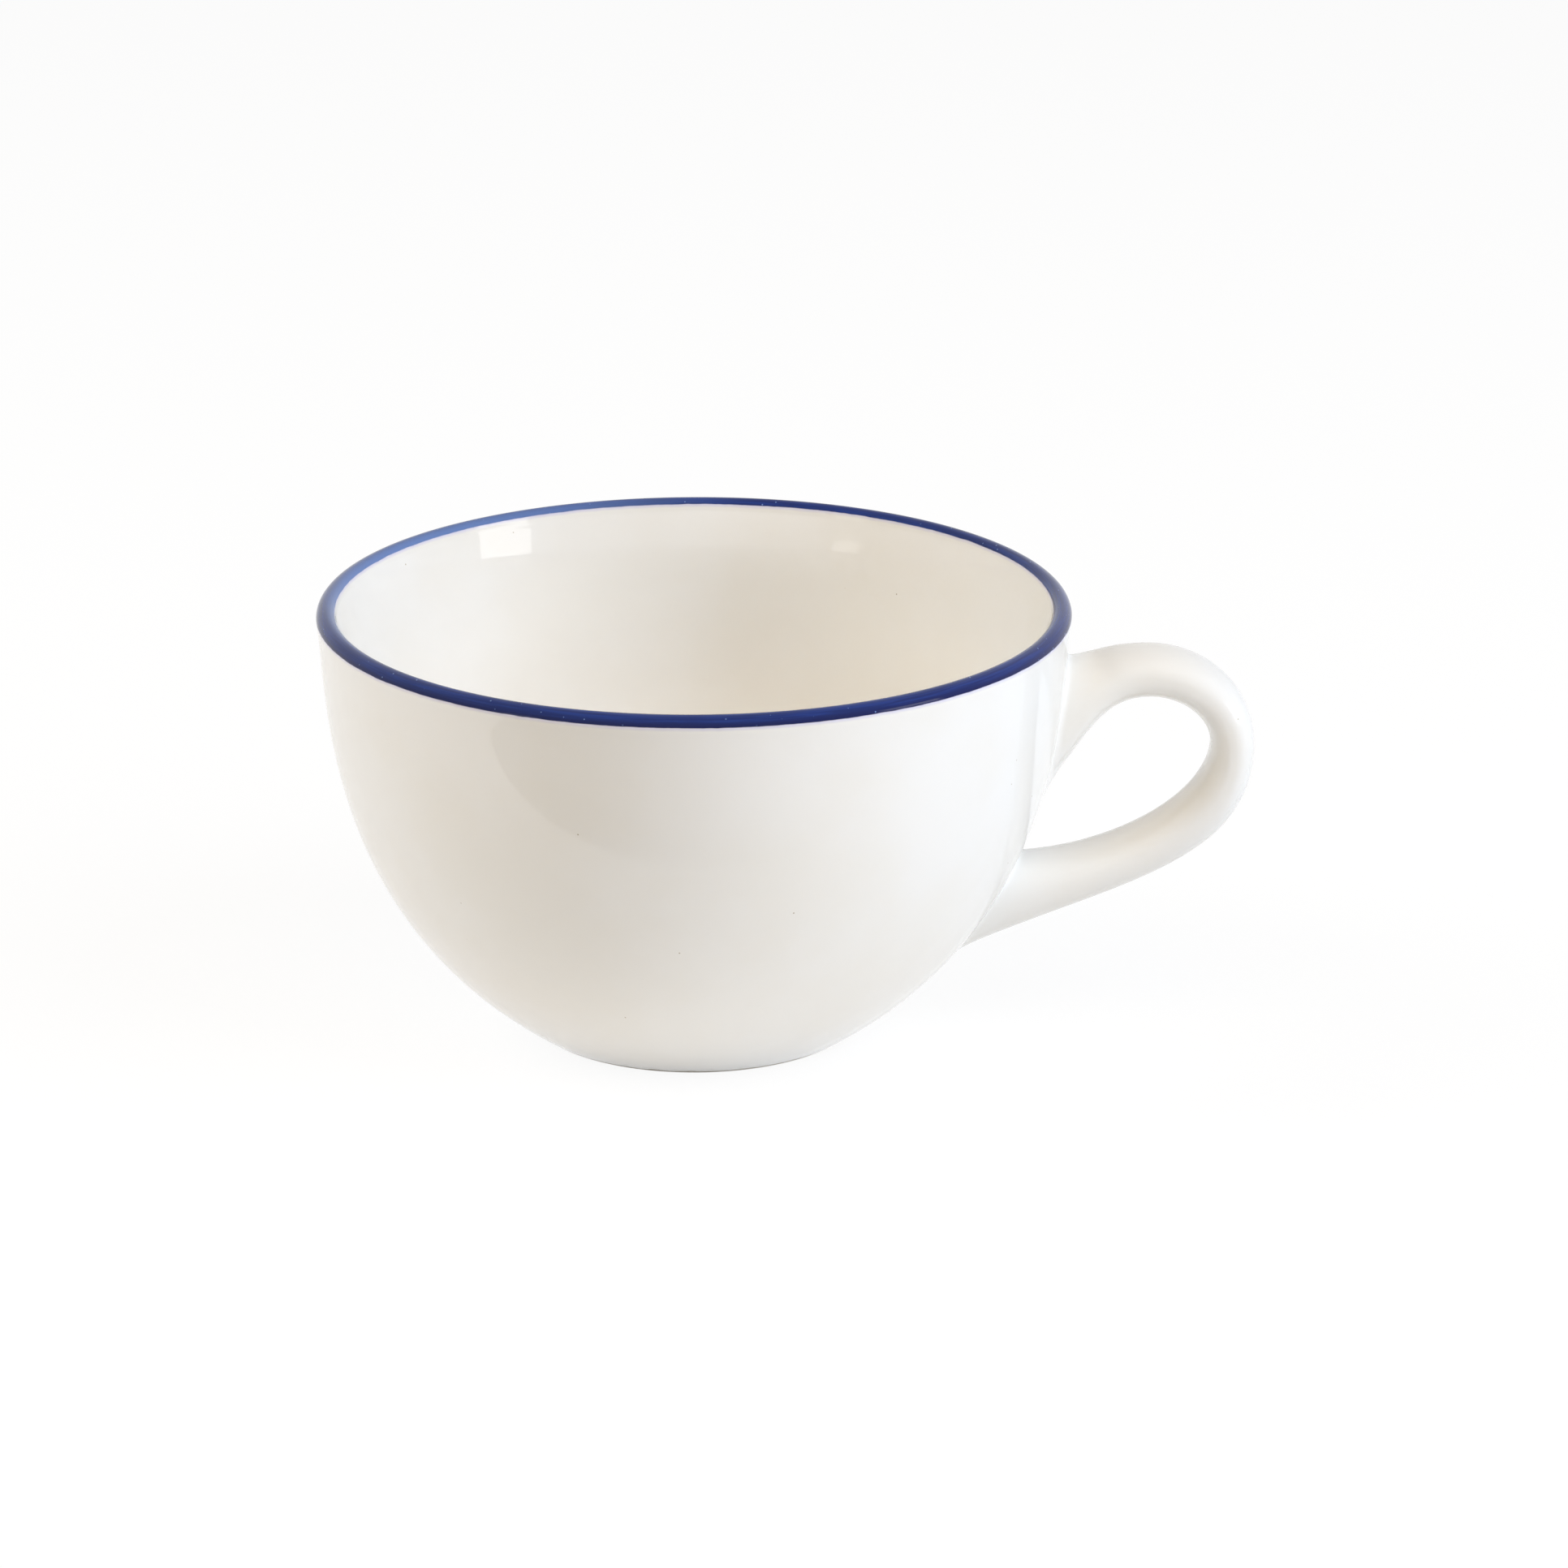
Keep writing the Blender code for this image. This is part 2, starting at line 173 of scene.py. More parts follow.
class BandSizes(PropertyGroup):
    """Sizes of the enamel band, measured along the lip from its crest"""

    outside: length("Outside run", "Width of the band outside the crest", 0.0022)
    inside: length("Inside run", "Width of the band inside the crest", 0.0016)
    thickness: length("Thickness", "Depth that the band is let into the lip", 0.0002)
    feather: length("Feather", "Half width over which the brushed edge fades", 0.00007)
    waver: length("Waver", "How far the brushed edge wanders", 0.00004)
    # Painted light: the side of the rim where the enamel's inner face, which faces the key lamp, is painted
    # paler
    painted_light_direction: angle("Painted light direction", "Where on the rim the inner lip is painted lit, from the handle", 150.0)


class HandleSizes(PropertyGroup):
    """Sizes of the strap handle, measured out and down from the rim, and of its slip fillets"""

    reach: length("Reach", "How far the handle stands out from the rim", HANDLE_REACH)
    reach_drop: length("Reach drop", "Depth of the furthest point below the rim", 0.0217)
    reach_thickness: length("Reach thickness", "Thickness at the furthest point", 0.0065)
    crown_out: length("Crown out", "Distance of the highest point from the rim", 0.0114)
    crown_drop: length("Crown drop", "Depth of the highest point below the rim", 0.0070)
    crown_thickness: length("Crown thickness", "Thickness at the highest point", 0.0070)
    width: length("Width", "Width of the strap", 0.0120)
    root_width: length("Root width", "Width of the strap at its roots", 0.0138)
    squareness: number("Squareness", "Power of the section's curve, 2 for an oval", 2.4)
    upper_drop: length("Upper root drop", "Depth of the upper root's top below the rim", 0.00875)
    upper_height: length("Upper root height", "Height of the upper root on the wall", 0.0186)
    upper_outer_rise: angle("Upper outer rise", "Rise of the outer edge off the wall", 9.0)
    upper_inner_rise: angle("Upper inner rise", "Rise of the inner edge off the wall", 46.0)
    lower_bottom: length("Lower root bottom", "Height of the lower root's foot", 0.0105)
    lower_height: length("Lower root height", "Height of the lower root on the wall", 0.0151)
    lower_outer_rise: angle("Lower outer rise", "Rise of the outer edge off the wall", 27.0)
    lower_inner_rise: angle("Lower inner rise", "Rise of the inner edge off the wall", 1.0)
    outer_root_fullness: share("Outer root fullness", "Pull of the outer edge at the upper root", 0.48)
    inner_root_fullness: share("Inner root fullness", "Pull of the inner edge at the upper root", 0.39)
    crown_fullness: share("Crown fullness", "Pull of both edges round the crown", 0.55)
    outer_heel_fullness: share("Outer heel fullness", "Pull of the outer edge below the reach", 0.60)
    inner_heel_fullness: share("Inner heel fullness", "Pull of the inner edge below the reach", 0.46)
    home_fullness: share("Home fullness", "Pull of both edges at the lower root", 0.54)
    slip_square: length("Square slip", "Width of the fillet at square corners", 0.0011)
    slip_shallow: length("Shallow slip", "Width of the fillet at shallow corners", 0.0045)


class GlazeColours(PropertyGroup):
    """Colours of the fired surfaces"""

    porcelain: colour("Porcelain", "Glazed porcelain", "#f8f6f1")
    porcelain_thick: colour("Thick glaze", "Porcelain where the glaze lies thicker", "#f6f3ec")
    pinhole: colour("Pinhole", "Iron specks and pinholes in the glaze", "#c4b9a6")
    biscuit: colour("Biscuit", "Bare porcelain at the foot", "#e4ddd0")
    biscuit_worn: colour("Worn biscuit", "Bare porcelain rubbed on tables", "#cfc6b6")
    enamel: colour("Enamel", "Enamel where it lies even", "#0b2468")
    enamel_thin: colour("Thin enamel", "Enamel in streaks where the brush thinned it", "#15327e")
    # Painted light: a paler blue that stands in for the key lamp's light on the inner lip and for glints on
    # blisters
    enamel_painted_light: colour("Painted light on enamel", "Paler blue painted as light on the inner lip and as glints on blisters", "#6b87c0")
    enamel_pooled: colour("Pooled enamel", "Enamel gathered at the band's lower edge", "#051453")
    bleed: colour("Bleed", "Cobalt run into the glaze beside the band", "#dcd9ea")


class StudioSettings(PropertyGroup):
    """Light, floor and camera"""

    floor: colour("Floor", "Pale paper that the cup stands on", "#f5f4f2")
    floor_shade: share("Floor shade", "Part of the floor's seen white that the lamps give", 0.12)
    floor_glow: share("Floor glow", "Part of the floor's seen white that is its own", 0.915)
    floor_bounce: share("Floor bounce", "Light that the floor throws up at the cup", 0.03)
    # Painted reflection: the floor turns dark only in the glaze's reflections, past this line in front of the
    # cup and away from the handle
    dark_reflection_edge: length("Dark reflection edge", "Distance from the axis of the painted dark reflection's front edge", 0.097)
    dark_reflection_darkest: length("Dark reflection darkest", "Where along X the painted dark reflection is darkest", -0.085)
    dark_reflection_end: length("Dark reflection end", "Where along X the painted dark reflection ends", 0.045)
    room: colour("Room light", "Light from all round", "#161412")
    key: colour("Key colour", "Colour of the large lamp on the right", "#dfecff")
    key_power: power("Key power", "Power of the large lamp on the right", 13.7)
    fill_power: power("Fill power", "Power of the large lamp on the left", 9.5)
    front: colour("Front colour", "Colour of the warm lamp high in front", "#ffd890")
    front_power: power("Front power", "Power of the warm lamp high in front", 4.7)
    window_power: power("Window power", "Power of the pane that the glaze mirrors", 1.1)
    strip_power: power("Strip power", "Power of the strip that the glaze mirrors", 0.2)
    lens: number("Lens", "Focal length on a 36 mm sensor", 164.8, unit="CAMERA")
    pitch: angle("Pitch", "How far the camera looks down", 18.67)
    camera_out: length("Camera out", "Level distance from the axis to the camera", 1.0)
    camera_height: length("Camera height", "Height of the camera above the table", 0.3743)
    camera_right: length("Camera right", "How far right of the axis the camera stands", 0.0131)


class CoffeeCup(PropertyGroup):
    """All settings of the cup"""

    bowl: PointerProperty(type=BowlSizes)
    foot: PointerProperty(type=FootSizes)
    band: PointerProperty(type=BandSizes)
    handle: PointerProperty(type=HandleSizes)
    colours: PointerProperty(type=GlazeColours)
    studio: PointerProperty(type=StudioSettings)


# Curves, as arrays whose last axis holds the coordinates


def even(count):
    """Even steps from 0 to 1."""
    return np.linspace(0.0, 1.0, count)


def pair(across, up):
    return np.array([across, up])


def polar(direction, reach=1.0):
    return np.stack([np.cos(direction), np.sin(direction)], -1) * reach


def bezier(start, start_pull, end_pull, end, t):
    """Points at t of the cubic that leaves start along start_pull and reaches end along end_pull."""
    t = np.asarray(t)[..., None]
    s = 1.0 - t
    leaving, arriving = start + start_pull, end - end_pull
    return start * s**3 + leaving * (3 * s * s * t) + arriving * (3 * s * t * t) + end * t**3


def smooth_step(t):
    t = np.clip(t, 0.0, 1.0)
    return t * t * (3.0 - 2.0 * t)


def unit(vectors):
    return vectors / np.linalg.norm(vectors, axis=-1, keepdims=True)


def run_along(points):
    """Distance of each point from the first, along the points."""
    return np.concatenate([[0.0], np.cumsum(np.linalg.norm(np.diff(points, axis=0), axis=-1))])


class Outline:
    """The turned outline of the cup, as (radius, height) pairs."""

    WALL_SAMPLES = 2001

    def __init__(self, cup):
        self.bowl, self.foot, self.band = cup.bowl, cup.foot, cup.band
        self.outer_round = self.bowl.lip * self.bowl.lip_outer_share
        self.inner_round = self.bowl.lip - self.outer_round
        lean = self.bowl.rim_angle
        self.up, self.inward = polar(lean), polar(lean + math.pi / 2)
        rounds = self.outer_round - self.inner_round
        crest = self.outer_round * math.cos(lean) + rounds * math.sin(lean) + self.inner_round
        radius = self.bowl.rim_radius - self.outer_round * (1.0 - math.sin(lean))
        self.lip_foot = pair(radius, self.bowl.height - crest)
        self.ts = even(self.WALL_SAMPLES)
        self.samples = self.outside(self.ts)

    def outside(self, t):
        """The outer wall, from the edge it stands on, at t = 0, to the foot of the lip, at t = 1."""
        start = pair(self.foot.radius, 0.0)
        span = np.linalg.norm(self.lip_foot - start)
        foot_pull = polar(self.foot.angle, span * self.foot.fullness)
        rim_pull = polar(self.bowl.rim_angle, span * self.bowl.rim_fullness)
        return bezier(start, foot_pull, rim_pull, self.lip_foot, t)

    def slope(self, t):
        step = 1.0 / self.WALL_SAMPLES
        ahead = self.outside(np.minimum(t + step, 1.0)) - self.outside(np.maximum(t - step, 0.0))
        return np.arctan2(ahead[..., 1], ahead[..., 0])

    def inside(self, t):
        """The inner wall opposite outside(t), which flares softly where the wall thins to the lip."""
        point = self.outside(t)
        closeness = np.clip(1.0 - (self.lip_foot[1] - point[..., 1]) / self.bowl.lip_taper, 0.0, 1.0)
        thickness = self.bowl.wall + (self.bowl.lip - self.bowl.wall) * closeness**2
        return point - polar(self.slope(t) - math.pi / 2) * thickness[..., None]

    def t_at(self, height):
        return np.interp(height, self.samples[:, 1], self.ts)

    def lip(self, run):
        """Points and normals of the lip, at a run from its crest along the surface, outside positive."""
        run = np.asarray(run)
        radius = np.where(run > 0, self.outer_round, self.inner_round)
        turn = (run / radius)[..., None]
        normal = self.up * np.cos(turn) - self.inward * np.sin(turn)
        base = self.lip_foot + self.inward * self.outer_round
        centre = base + self.up * (self.outer_round - radius)[..., None]
        return centre + normal * radius[..., None], normal

    def stand_off(self, points):
        """How far points of the cup's frame stand off the outer wall."""
        t = self.t_at(points[..., 2])
        out = np.hypot(points[..., 0], points[..., 1]) - self.outside(t)[..., 0]
        return out * np.sin(self.slope(t))

    def seat(self, points, distance):
        """The points, moved level to or from the axis until they stand off the wall by the distance."""
        t = self.t_at(points[..., 2])
        radius = self.outside(t)[..., 0] + distance / np.sin(self.slope(t))
        level = points[..., :2] * (radius / np.hypot(points[..., 0], points[..., 1]))[..., None]
        return np.concatenate([level, points[..., 2:]], -1)

    def wall_normal(self, points):
        """Outward normal of the outer wall level with the points."""
        lean = self.slope(self.t_at(points[..., 2])) - math.pi / 2
        level = unit(points[..., :2]) * np.cos(lean)[..., None]
        return np.concatenate([level, np.sin(lean)[..., None]], -1)


def bowl_profile(outline):
    """Floor, inner wall, lip with the band's seat, outer wall and underside, and runs from the crest."""
    bowl, foot, band = outline.bowl, outline.foot, outline.band
    under_top = foot.height + bowl.dome + bowl.cove / 2
    floor_centre = pair(0.0, under_top + bowl.floor)
    heel_t = outline.t_at(bowl.heel_height)
    heel = outline.inside(heel_t)
    floor_pull = pair(heel[0] * bowl.floor_fullness, 0.0)
    heel_pull = polar(outline.slope(heel_t), heel[0] * bowl.heel_fullness)
    floor = bezier(floor_centre, floor_pull, heel_pull, heel, even(FLOOR_POINTS))
    blend_t = outline.t_at(outline.lip_foot[1] - bowl.lip_blend)
    inside = outline.inside(np.linspace(heel_t, blend_t, INSIDE_POINTS)[1:])

    quarter_in, quarter_out = outline.inner_round * math.pi / 2, outline.outer_round * math.pi / 2
    lip_in = outline.lip(np.linspace(bowl.lip_blend - quarter_in, -band.inside, LIP_POINTS))[0]
    up_pull, over_pull = (unit(p[1] - p[0]) * bowl.lip_blend for p in (inside[-2:], lip_in))
    blend = bezier(inside[-1], up_pull, over_pull, lip_in[0], even(BLEND_POINTS)[1:-1])
    seat_runs = np.linspace(-band.inside, band.outside, SEAT_POINTS)
    seat_points, seat_normals = outline.lip(seat_runs)
    seat = seat_points - seat_normals * band.thickness
    lip_out = outline.lip(np.linspace(band.outside, quarter_out, LIP_POINTS))[0]

    outside = outline.outside(np.linspace(1.0, outline.t_at(foot.height), OUTSIDE_POINTS)[1:])
    ring_inside = pair(foot.radius - foot.bearing - foot.lean, foot.height)
    cove_top = ring_inside + pair(-bowl.cove, bowl.cove / 2)
    cove_up, cove_in = polar(math.pi / 2, bowl.cove / 3), polar(math.pi, bowl.cove / 2)
    cove = bezier(ring_inside, cove_up, cove_in, cove_top, even(COVE_POINTS))
    under_pull = pair(-cove_top[0] / 3, 0.0)
    under = bezier(cove_top, under_pull, under_pull, pair(0.0, under_top), even(UNDERSIDE_POINTS)[1:])

    before = np.concatenate([floor, inside, blend, lip_in])
    after = np.concatenate([lip_out, outside])
    runs = [
        -band.inside - run_along(before[::-1])[::-1],
        seat_runs,
        band.outside + run_along(after),
        np.full(len(cove) + len(under), bowl.height),
    ]
    return np.concatenate([before, seat, after, cove, under]), np.concatenate(runs)


def band_profile(outline):
    """A thin skin flush with the lip, closed on itself."""
    band = outline.band
    runs = np.linspace(-band.inside, band.outside, BAND_POINTS)
    top, normals = outline.lip(runs)
    under = (top - normals * band.thickness * BAND_FILL)[-2:0:-1]
    points = np.concatenate([top, under, top[:1]])
    return points, np.concatenate([runs, runs[-2:0:-1], runs[:1]])


def foot_profile(outline):
    """A ring that carries the wall's curve down to a flat bearing face, closed on itself."""
    bowl, foot = outline.bowl, outline.foot
    edge = foot.edge_round
    top_t = outline.t_at(foot.height)
    edge_t = outline.t_at(edge)
    outside = outline.outside(np.linspace(top_t, edge_t, FOOT_WALL_POINTS))
    outer_edge = pair(foot.radius - edge, 0.0)
    down = polar(outline.slope(edge_t) + math.pi, edge * OUTER_EDGE_PULL)
    t = even(FOOT_EDGE_POINTS)
    outer_round = bezier(outside[-1], down, pair(-edge, 0.0), outer_edge, t[1:])
    bearing = foot.radius - foot.bearing
    inner_edge, inner_side = pair(bearing + edge, 0.0), pair(bearing, edge)
    pull = edge * INNER_EDGE_PULL
    inner_round = bezier(inner_edge, pair(-pull, 0.0), pair(0.0, pull), inner_side, t)
    inner_top = pair(bearing - foot.lean, foot.height)
    side = inner_side + (inner_top - inner_side) * t[1:, None]
    points = np.concatenate([outside, outer_round, inner_round, side, outside[:1]])
    return points, np.full(len(points), bowl.height)


# The handle


def strap_edge(outline, handle, top, bottom, rise, fall, crown, reach, root_fullness, heel_fullness):
    """One edge of the strap in the handle's plane, as three curves from the upper root to the lower."""
    top, bottom = outline.outside(outline.t_at(top)), outline.outside(outline.t_at(bottom))
    root_pull = np.linalg.norm(crown - top) * root_fullness
    over, down = handle.crown_fullness * (reach - crown)
    heel = heel_fullness * (bottom - reach)[1]
    home = handle.home_fullness * (reach - bottom)[0]
    return [
        (top, polar(rise, root_pull), pair(root_pull, 0.0), crown),
        (crown, pair(over, 0.0), pair(0.0, down), reach),
        (reach, pair(0.0, heel), polar(fall, -home), bottom),
    ]


def strap_lines(outline, handle, stations=150, around=96, overrun=0.0030):
    """Lines along the strap's skin, from inside the wall to inside the wall: stations x around x 3."""
    rim = pair(outline.bowl.rim_radius, outline.bowl.height)
    crown = rim + pair(handle.crown_out, -handle.crown_drop)
    reach = rim + pair(handle.reach, -handle.reach_drop)
    upper_top = rim[1] - handle.upper_drop
    outer = strap_edge(
        outline, handle, upper_top, handle.lower_bottom, handle.upper_outer_rise, handle.lower_outer_rise,
        crown, reach, handle.outer_root_fullness, handle.outer_heel_fullness,
    )
    inner_crown = crown - pair(0.0, handle.crown_thickness)
    inner_reach = reach - pair(handle.reach_thickness, 0.0)
    inner = strap_edge(
        outline, handle, upper_top - handle.upper_height, handle.lower_bottom + handle.lower_height,
        handle.upper_inner_rise, handle.lower_inner_rise, inner_crown, inner_reach,
        handle.inner_root_fullness, handle.inner_heel_fullness,
    )
    t = even(stations)
    flare = handle.root_width - handle.width
    flares = (1.0 - smooth_step(t), np.zeros(stations), smooth_step(t) ** 3)
    widths = handle.width + flare * np.concatenate([f[i > 0 :] for i, f in enumerate(flares)])
    edges = []
    for curves in (outer, inner):
        line = np.concatenate([bezier(*c, t)[i > 0 :] for i, c in enumerate(curves)])
        into_upper = line[0] - unit(curves[0][1]) * overrun
        into_lower = line[-1] + unit(curves[-1][2]) * overrun
        edges.append(np.concatenate([[into_upper], line, [into_lower]]))
    widths = np.concatenate([widths[:1], widths, widths[-1:]])
    centre, half = (edges[0] + edges[1]) / 2, (edges[0] - edges[1]) / 2
    turn = np.linspace(0.0, math.tau, around, endpoint=False)
    power = 2.0 / handle.squareness
    across, along = (np.sign(wave) * np.abs(wave) ** power for wave in (np.cos(turn), np.sin(turn)))
    plane = centre[:, None, :] + half[:, None, :] * along[None, :, None]
    level = widths[:, None] / 2 * across
    return np.stack([plane[..., 0], level, plane[..., 1]], -1)


def at_run(line, runs, distance):
    """Points of a line at distances along it."""
    return np.stack([np.interp(distance, runs, line[:, axis]) for axis in range(3)], -1)


def root_fillet(outline, handle, lines, steps=14, settling=4, sink=0.000012):
    """The slip at one root: where it starts along each line, and its rings from there out to the wall."""
    columns = [lines[:, k] for k in range(lines.shape[1])]
    runs = [run_along(column) for column in columns]
    offs = outline.stand_off(lines)
    crossings = []
    for k, run in enumerate(runs):
        first = int(np.argmax(offs[:, k] >= 0.0))
        before, after = offs[first - 1, k], offs[first, k]
        crossings.append(run[first - 1] + (run[first] - run[first - 1]) * before / (before - after))

    def along(distances, probe=0.00005):
        here = np.array([at_run(c, r, d) for c, r, d in zip(columns, runs, distances)])
        ahead = np.array([at_run(c, r, d + probe) for c, r, d in zip(columns, runs, distances)])
        return here, unit(ahead - here)

    def away_from_root(ring):
        round_it = np.roll(ring, -1, 0) - np.roll(ring, 1, 0)
        away = unit(np.cross(outline.wall_normal(ring), round_it))
        facing = np.sign(np.sum(away * (ring - ring.mean(0)), -1, keepdims=True))
        return away * facing

    feet, leaving = along(crossings)
    corner = np.degrees(np.arccos(np.sum(leaving * away_from_root(feet), -1)))
    shallow = smooth_step((corner - SQUARE_CORNER) / (SHALLOW_CORNER - SQUARE_CORNER))
    widths = handle.slip_square + (handle.slip_shallow - handle.slip_square) * shallow
    starts = np.array(crossings) + widths
    tops, leaving = along(starts)
    feet = tops
    for _ in range(settling):
        lean = np.sum(leaving * outline.wall_normal(feet), -1)
        feet = feet - leaving * (outline.stand_off(feet) / lean)[:, None]
    toes = feet + away_from_root(feet) * widths[:, None]
    rings = []
    for s in even(steps):
        ring = tops * (1 - s) ** 2 + feet * (2 * s * (1 - s)) + toes * s**2
        rings.append(outline.seat(ring, outline.stand_off(tops) * (1 - s) ** 2 - sink * s**2))
    return starts, np.array(rings)


def handle_skin(outline, handle, rings=170):
    """Rings of the whole handle from wall to wall, and the numbers of the two rings where its slip ends."""
    lines = strap_lines(outline, handle)
    upper_starts, upper = root_fillet(outline, handle, lines)
    lower_starts, lower = root_fillet(outline, handle, lines[::-1])
    strap = []
    for k in range(lines.shape[1]):
        runs = run_along(lines[:, k])
        distances = np.linspace(upper_starts[k], runs[-1] - lower_starts[k], rings)
        strap.append(at_run(lines[:, k], runs, distances))
    strap = np.swapaxes(np.array(strap), 0, 1)
    skin = np.concatenate([upper[::-1], strap[1:-1], lower])
    return skin, len(upper) - 1, len(skin) - len(lower)


def skin_normals(outline, skin):
    """Outward normals of the handle's skin, which end in those of the wall."""
    along = np.gradient(skin, axis=0)
    around = np.roll(skin, -1, 1) - np.roll(skin, 1, 1)
    normals = unit(np.cross(around, along))
    normals[0], normals[-1] = outline.wall_normal(skin[0]), outline.wall_normal(skin[-1])
    return normals


# Meshes


def put(name, data):
    """A new object in the scene."""
    item = bpy.data.objects.new(name, data)
    bpy.context.scene.collection.objects.link(item)
    return item


def feed(tree, node, inputs):
    """Sets or links a node's inputs, given by name or number, or in the order of its sockets."""
    for socket, value in inputs.items() if isinstance(inputs, dict) else enumerate(inputs):
        if isinstance(value, NodeSocket):
            tree.links.new(value, node.inputs[socket])
        else:
            node.inputs[socket].default_value = (*value, 1.0) if isinstance(value, Color) else value


def add_node(tree, kind, inputs=(), output=0, **settings):
    """Adds a node with its settings and inputs, and gives its first output, or the one asked for."""
    node = tree.nodes.new(kind)
    for name, value in settings.items():
        setattr(node, name, value)
    feed(tree, node, inputs)
    return node.outputs[output]


def turning_tree():
    """Geometry nodes that turn a chain of points at +X about the cup's axis."""
    tree = bpy.data.node_groups.new("turned_on_the_wheel", "GeometryNodeTree")
    for name, kind in (
        ("Profile", "NodeSocketGeometry"),
        ("Segments", "NodeSocketInt"),
        ("Axis", "NodeSocketVector"),
        ("Weld Distance", "NodeSocketFloat"),
        ("Material", "NodeSocketMaterial"),
    ):
        tree.interface.new_socket(name, in_out="INPUT", socket_type=kind)
    tree.interface.new_socket("Turned Piece", in_out="OUTPUT", socket_type="NodeSocketGeometry")

    given = add_node(tree, "NodeGroupInput").node.outputs
    count = add_node(tree, "GeometryNodeAttributeDomainSize", {"Geometry": given["Profile"]}, "Point Count")
    sides = add_node(tree, "ShaderNodeMath", (given["Segments"], 1.0), operation="ADD")
    shape = add_node(tree, "GeometryNodeMeshGrid", {"Vertices X": sides, "Vertices Y": count}, "Mesh")
    index = add_node(tree, "GeometryNodeInputIndex")
    place = add_node(tree, "ShaderNodeMath", (index, count), operation="MODULO")
    turns = add_node(tree, "ShaderNodeMath", (index, count), operation="DIVIDE")
    step = add_node(tree, "ShaderNodeMath", (turns,), operation="FLOOR")
    slice_angle = add_node(tree, "ShaderNodeMath", (math.tau, given["Segments"]), operation="DIVIDE")
    angle = add_node(tree, "ShaderNodeMath", (step, slice_angle), operation="MULTIPLY")

    position = add_node(tree, "GeometryNodeInputPosition")
    source = (given["Profile"], position, place)
    drawn = add_node(tree, "GeometryNodeSampleIndex", source, data_type="FLOAT_VECTOR")
    turning = {"Vector": drawn, "Angle": angle}
    turned = add_node(tree, "ShaderNodeVectorRotate", turning, rotation_type="Z_AXIS")
    placed = add_node(tree, "ShaderNodeVectorMath", (turned, given["Axis"]), operation="ADD")
    shape = add_node(tree, "GeometryNodeSetPosition", {"Geometry": shape, "Position": placed})
    shape = add_node(tree, "GeometryNodeFlipFaces", (shape,))

    run = add_node(tree, "GeometryNodeInputNamedAttribute", (RIM_RUN,), data_type="FLOAT")
    source = (given["Profile"], run, place)
    run = add_node(tree, "GeometryNodeSampleIndex", source, data_type="FLOAT")
    stored = {"Geometry": shape, "Name": RIM_RUN, "Value": run}
    shape = add_node(tree, "GeometryNodeStoreNamedAttribute", stored, data_type="FLOAT")
    weld = {"Geometry": shape, "Distance": given["Weld Distance"]}
    shape = add_node(tree, "GeometryNodeMergeByDistance", weld)
    shape = add_node(tree, "GeometryNodeSetShadeSmooth", (shape,))
    shape = add_node(tree, "GeometryNodeRealizeInstances", (shape,))
    shape = add_node(tree, "GeometryNodeSetMaterial", {"Geometry": shape, "Material": given["Material"]})
    feed(tree, tree.nodes.new("NodeGroupOutput"), (shape,))
    return tree


def turn(name, profile, runs, segments, material):
    """A plain mesh object turned from a profile whose points carry their run from the lip's crest."""
    chain = [(i, i + 1) for i in range(len(profile) - 1)]
    mesh = bpy.data.meshes.new(name)
    mesh.from_pydata([(r, 0.0, z) for r, z in profile], chain, [])
    mesh.attributes.new(RIM_RUN, "FLOAT", "POINT").data.foreach_set("value", runs)
    piece = put(name, mesh)

    tree = bpy.data.node_groups.get("turned_on_the_wheel") or turning_tree()
    values = {
        "Segments": segments,
        "Axis": (AXIS_X, 0.0, 0.0),
        "Weld Distance": WELD_DISTANCE,
        "Material": material,
    }
    modifier = piece.modifiers.new("Turned on the wheel", "NODES")
    modifier.node_group = tree
    for socket in tree.interface.items_tree:
        if socket.name in values:
            modifier[socket.identifier] = values[socket.name]
    evaluated = piece.evaluated_get(bpy.context.evaluated_depsgraph_get())
    turned = bpy.data.meshes.new_from_object(evaluated)
    piece.modifiers.clear()
    piece.data = turned
    turned.name = name
    turned.set_sharp_from_angle(angle=SHARP_ANGLE)
    return piece


def loft(name, skin, normals, material):
    """A closed piece through rings, shaded by the normals of the whole handle."""
    count, around = skin.shape[:2]
    shape = bmesh.new()
    moved = skin + np.array([AXIS_X, 0.0, 0.0])
    loops = [[shape.verts.new(point) for point in ring] for ring in moved]
    for ring, following in zip(loops, loops[1:]):
        for k in range(around):
            after = (k + 1) % around
            shape.faces.new((ring[k], ring[after], following[after], following[k]))
    caps = [shape.faces.new(loops[0]), shape.faces.new(loops[-1])]
    bmesh.ops.poke(shape, faces=caps)
    bmesh.ops.recalc_face_normals(shape, faces=shape.faces)
    mesh = bpy.data.meshes.new(name)
    shape.to_mesh(mesh)
    shape.free()
    mesh.shade_smooth()
    corner_normals = np.zeros((len(mesh.loops), 3))
    skin_corners = count * around
    flat_normals = normals.reshape(-1, 3)
    for polygon in mesh.polygons:
        if max(polygon.vertices) < skin_corners:
            for loop in polygon.loop_indices:
                corner_normals[loop] = flat_normals[mesh.loops[loop].vertex_index]
    mesh.normals_split_custom_set(corner_normals.tolist())
    drops = [CUP_HEIGHT - vertex.co.z for vertex in mesh.vertices]
    mesh.attributes.new(RIM_RUN, "FLOAT", "POINT").data.foreach_set("value", drops)
    mesh.materials.append(material)
    return put(name, mesh)


def dress(piece, node):
    """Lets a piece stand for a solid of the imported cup."""
    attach(piece, BODY)
    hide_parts(node)


# Materials

